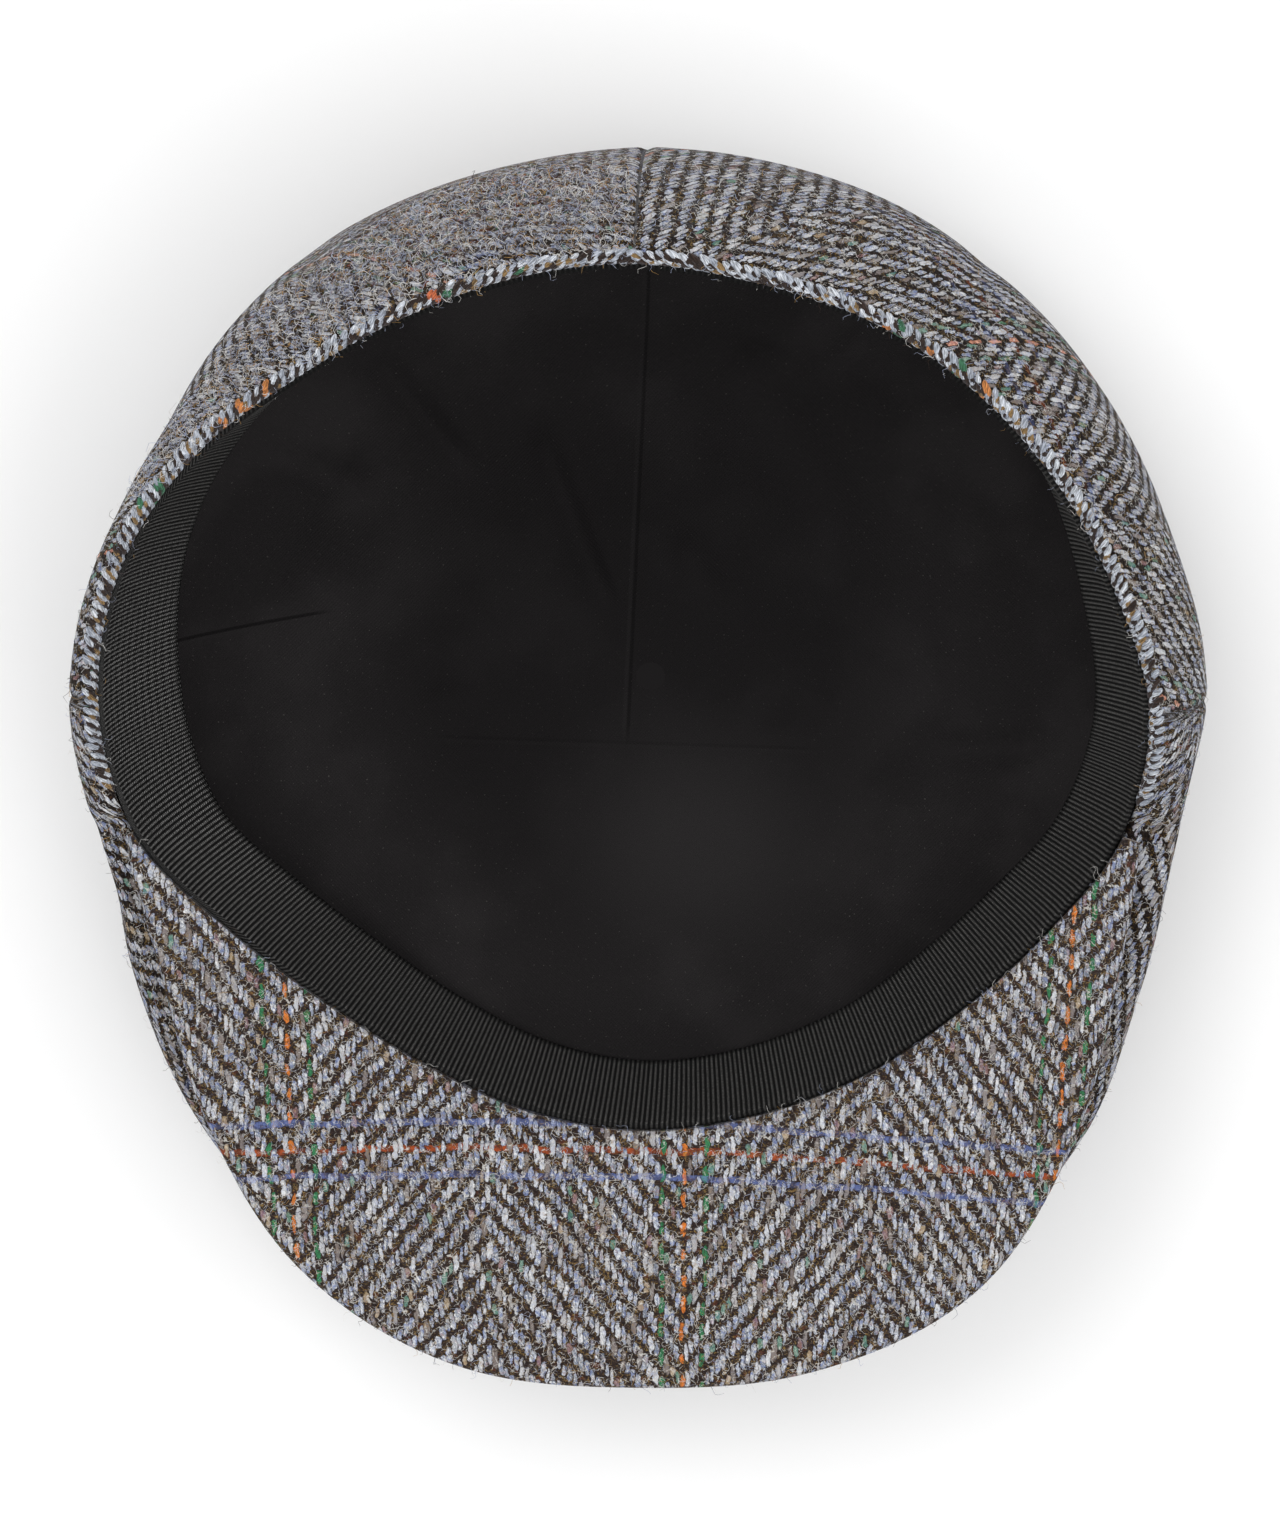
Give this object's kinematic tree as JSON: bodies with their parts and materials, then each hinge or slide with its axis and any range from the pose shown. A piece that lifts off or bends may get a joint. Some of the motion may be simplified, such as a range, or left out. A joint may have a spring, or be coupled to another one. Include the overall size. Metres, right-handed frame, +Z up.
{
  "type": "jockey cap",
  "caption": "Soft herringbone tweed cap with a stiff curved peak, black lining and ribbed inner band, lying upside down on its crown.",
  "frame": {"origin": "on the floor under the middle of the cap's box", "axes": "+Z up, out of the head opening; +Y towards the back of the cap, so the peak points along -Y; +X to the right of a view from above with the back at the top"},
  "size_m": [0.2097, 0.2328, 0.0806],
  "materials": {
    "tweed": "herringbone wool tweed, hairy",
    "lining_cotton": "plain black cotton, dull",
    "grosgrain": "black ribbed ribbon, dull"
  },
  "bodies": {
    "root": {"crown": "tweed", "lining": "lining_cotton", "sweatband": "grosgrain", "peak_upper": "tweed", "peak_underside": "tweed"}
  },
  "joints": []
}
